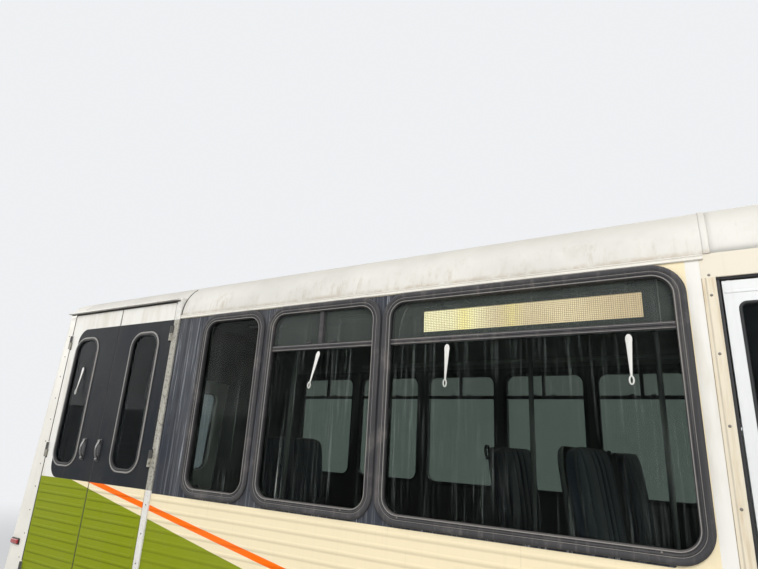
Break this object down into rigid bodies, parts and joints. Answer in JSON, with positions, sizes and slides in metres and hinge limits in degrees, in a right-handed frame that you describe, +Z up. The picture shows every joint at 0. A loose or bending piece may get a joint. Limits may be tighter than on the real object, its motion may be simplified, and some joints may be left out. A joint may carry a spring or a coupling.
{
  "type": "minibus",
  "caption": "Cutaway minibus with a wheelchair lift door, a swinging entry door, working steering and wheels, and opening cab door, rear door, hood and roof hatch.",
  "frame": {"origin": "on the ground, at the middle of the overall length and width", "axes": "+X forward, +Y to the left, +Z up"},
  "size_m": [6.488, 2.956, 2.8373],
  "materials": {
    "cream_paint": "satin, weathered",
    "roof_gelcoat": "satin, weathered",
    "aluminium_trim": "brushed, dirty",
    "white_trim": "satin",
    "window_rubber": "matt",
    "tinted_glass": "glossy, tinted",
    "clear_glass": "glossy",
    "lamp_lens": "glossy",
    "red_lens": "glossy",
    "grille_plastic": "matt",
    "cab_plastic": "matt, grained",
    "seat_fabric": "woven",
    "seat_frame": "satin",
    "floor_covering": "matt, ribbed",
    "frame_steel": "matt",
    "axle_iron": "rough",
    "spring_steel": "dull",
    "exhaust_steel": "dull, rusty",
    "tyre_rubber": "matt",
    "rim_paint": "satin",
    "bumper_paint": "satin",
    "black_plastic": "matt",
    "sign_black": "matt",
    "steel_rail": "polished"
  },
  "bodies": {
    "bus": {"rear_cap": "cream_paint", "right_side": "cream_paint", "left_side": "cream_paint", "roof": "roof_gelcoat", "window_frames": "window_rubber", "window_panes": "tinted_glass", "lift_door_frame": "aluminium_trim", "entry_frame": "white_trim", "front_panels": "cream_paint", "grille": "grille_plastic", "head_lamps": "lamp_lens", "cab_shell": "cream_paint", "cab_glass": "clear_glass", "front_cap": "roof_gelcoat", "cab_floor": "floor_covering", "dashboard": "cab_plastic", "seat_cushions": "seat_fabric", "seat_legs": "seat_frame", "driver_seat": "seat_fabric", "floor": "floor_covering", "chassis_frame": "frame_steel", "rear_axle": "axle_iron", "leaf_springs": "spring_steel", "front_beams": "axle_iron", "drive_shaft": "axle_iron", "engine_block": "axle_iron", "fuel_tank": "frame_steel", "exhaust": "exhaust_steel", "front_bumper": "bumper_paint", "rear_bumper": "bumper_paint", "mirrors": "black_plastic", "tail_lamps": "red_lens", "side_sign": "sign_black", "lift_platform": "steel_rail", "grab_rails": "steel_rail"},
    "steer_left": {"knuckle_left": "axle_iron"},
    "steer_right": {"knuckle_right": "axle_iron"},
    "front_wheel_left": {"front_tyre_left": "tyre_rubber", "front_rim_left": "rim_paint"},
    "front_wheel_right": {"front_tyre_right": "tyre_rubber", "front_rim_right": "rim_paint"},
    "rear_wheels_left": {"rear_tyres_left": "tyre_rubber", "rear_rim_left": "rim_paint"},
    "rear_wheels_right": {"rear_tyres_right": "tyre_rubber", "rear_rim_right": "rim_paint"},
    "entry_leaf_rear": {"entry_door_rear": "white_trim", "entry_glass_rear": "tinted_glass"},
    "entry_leaf_front": {"entry_door_front": "white_trim", "entry_glass_front": "tinted_glass"},
    "lift_leaf_rear": {"lift_door_rear": "cream_paint", "lift_glass_rear": "tinted_glass"},
    "lift_leaf_front": {"lift_door_front": "cream_paint", "lift_glass_front": "tinted_glass"},
    "cab_door": {"driver_door": "cream_paint", "driver_glass": "clear_glass"},
    "rear_leaf": {"rear_door": "cream_paint", "rear_door_glass": "tinted_glass"},
    "hood_lid": {"hood": "cream_paint"},
    "hatch_lid": {"roof_hatch": "roof_gelcoat"},
    "hand_wheel": {"steering_wheel": "black_plastic"}
  },
  "joints": [
    {"name": "steer_left_turn", "type": "hinge", "parent": "bus", "child": "steer_left", "pos_m": [2.444, 0.79, 0.372], "axis": [0, 0, 1], "range_deg": [-32, 32]},
    {"name": "steer_right_turn", "type": "hinge", "parent": "bus", "child": "steer_right", "pos_m": [2.444, -0.79, 0.372], "axis": [0, 0, 1], "range_deg": [-32, 32]},
    {"name": "front_wheel_left_roll", "type": "hinge", "parent": "steer_left", "child": "front_wheel_left", "pos_m": [2.444, 0.8815, 0.372], "axis": [0, 1, 0], "continuous": true},
    {"name": "front_wheel_right_roll", "type": "hinge", "parent": "steer_right", "child": "front_wheel_right", "pos_m": [2.444, -0.8815, 0.372], "axis": [0, 1, 0], "continuous": true},
    {"name": "rear_wheels_left_roll", "type": "hinge", "parent": "bus", "child": "rear_wheels_left", "pos_m": [-1.061, 0.955, 0.372], "axis": [0, 1, 0], "continuous": true},
    {"name": "rear_wheels_right_roll", "type": "hinge", "parent": "bus", "child": "rear_wheels_right", "pos_m": [-1.061, -0.955, 0.372], "axis": [0, 1, 0], "continuous": true},
    {"name": "entry_leaf_rear_swing", "type": "hinge", "parent": "bus", "child": "entry_leaf_rear", "pos_m": [1.016, -1.192, 1.35], "axis": [0, 0, -1], "range_deg": [0, 88]},
    {"name": "entry_leaf_front_swing", "type": "hinge", "parent": "bus", "child": "entry_leaf_front", "pos_m": [1.816, -1.192, 1.35], "axis": [0, 0, 1], "range_deg": [0, 88]},
    {"name": "lift_leaf_rear_swing", "type": "hinge", "parent": "bus", "child": "lift_leaf_rear", "pos_m": [-2.889, -1.233, 1.6], "axis": [0, 0, -1], "range_deg": [0, 170]},
    {"name": "lift_leaf_front_swing", "type": "hinge", "parent": "bus", "child": "lift_leaf_front", "pos_m": [-1.814, -1.233, 1.6], "axis": [0, 0, 1], "range_deg": [0, 170]},
    {"name": "cab_door_swing", "type": "hinge", "parent": "bus", "child": "cab_door", "pos_m": [1.982, 1.011, 1.2], "axis": [0, 0, -1], "range_deg": [0, 68]},
    {"name": "rear_leaf_swing", "type": "hinge", "parent": "bus", "child": "rear_leaf", "pos_m": [-3.164, -0.444, 1.3], "axis": [0.068, 0, 0.9977], "range_deg": [0, 110]},
    {"name": "hood_lift", "type": "hinge", "parent": "bus", "child": "hood_lid", "pos_m": [2.576, 0, 1.33], "axis": [0, -1, 0], "range_deg": [0, 62]},
    {"name": "hatch_lift", "type": "hinge", "parent": "bus", "child": "hatch_lid", "pos_m": [-0.38, 0, 2.79726], "axis": [0, 1, 0], "range_deg": [0, 75]},
    {"name": "hand_wheel_turn", "type": "hinge", "parent": "bus", "child": "hand_wheel", "pos_m": [2.024, 0.52, 1.29], "axis": [-0.6157, 0, 0.788], "range_deg": [-545, 545]}
  ],
  "couplings": [
    {"joint": "steer_right_turn", "follows": "steer_left_turn", "ratio": 1},
    {"joint": "hand_wheel_turn", "follows": "steer_left_turn", "ratio": 16.9},
    {"joint": "entry_leaf_front_swing", "follows": "entry_leaf_rear_swing", "ratio": 1}
  ]
}
